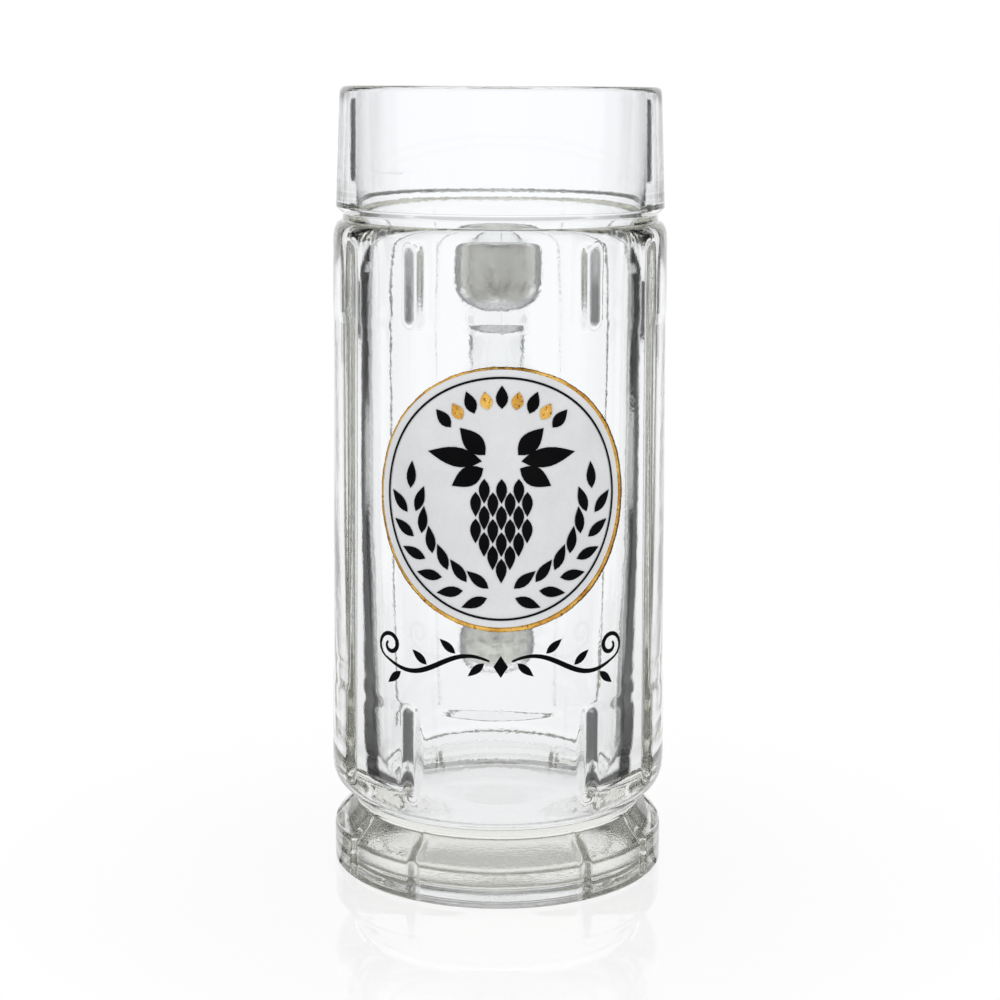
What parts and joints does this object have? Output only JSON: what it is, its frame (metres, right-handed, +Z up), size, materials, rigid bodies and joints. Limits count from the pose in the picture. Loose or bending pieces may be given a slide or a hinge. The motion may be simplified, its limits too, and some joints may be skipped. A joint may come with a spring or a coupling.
{
  "type": "beer mug",
  "caption": "Tall half-litre beer mug of pressed glass: smooth rim band, notched panels, recessed print belt, notched foot, fused D-shaped handle and a fired-on round badge.",
  "frame": {"origin": "middle of the foot's underside, on the mug's axis", "axes": "+Z up along the mug's axis, -Y towards the printed front, +Y towards the handle"},
  "size_m": [0.082, 0.1266, 0.19],
  "materials": {
    "clear_glass": "clear pressed soda-lime glass with a faint grey-green cast where it is thick",
    "fired_gold": "thin fired-on gold lustre, worn and specked at the edge",
    "grey_enamel": "fired-on pale grey enamel, slightly glossy",
    "black_enamel": "fired-on black enamel, glossy",
    "etched_mark": "matt white etched line"
  },
  "bodies": {
    "root": {"glass_body": "clear_glass", "handle": "clear_glass", "badge_gold_rim": "fired_gold", "badge_enamel": "grey_enamel", "badge_black_print": "black_enamel", "badge_gold_print": "fired_gold", "ornament_line": "black_enamel", "fill_mark": "etched_mark"}
  },
  "joints": []
}
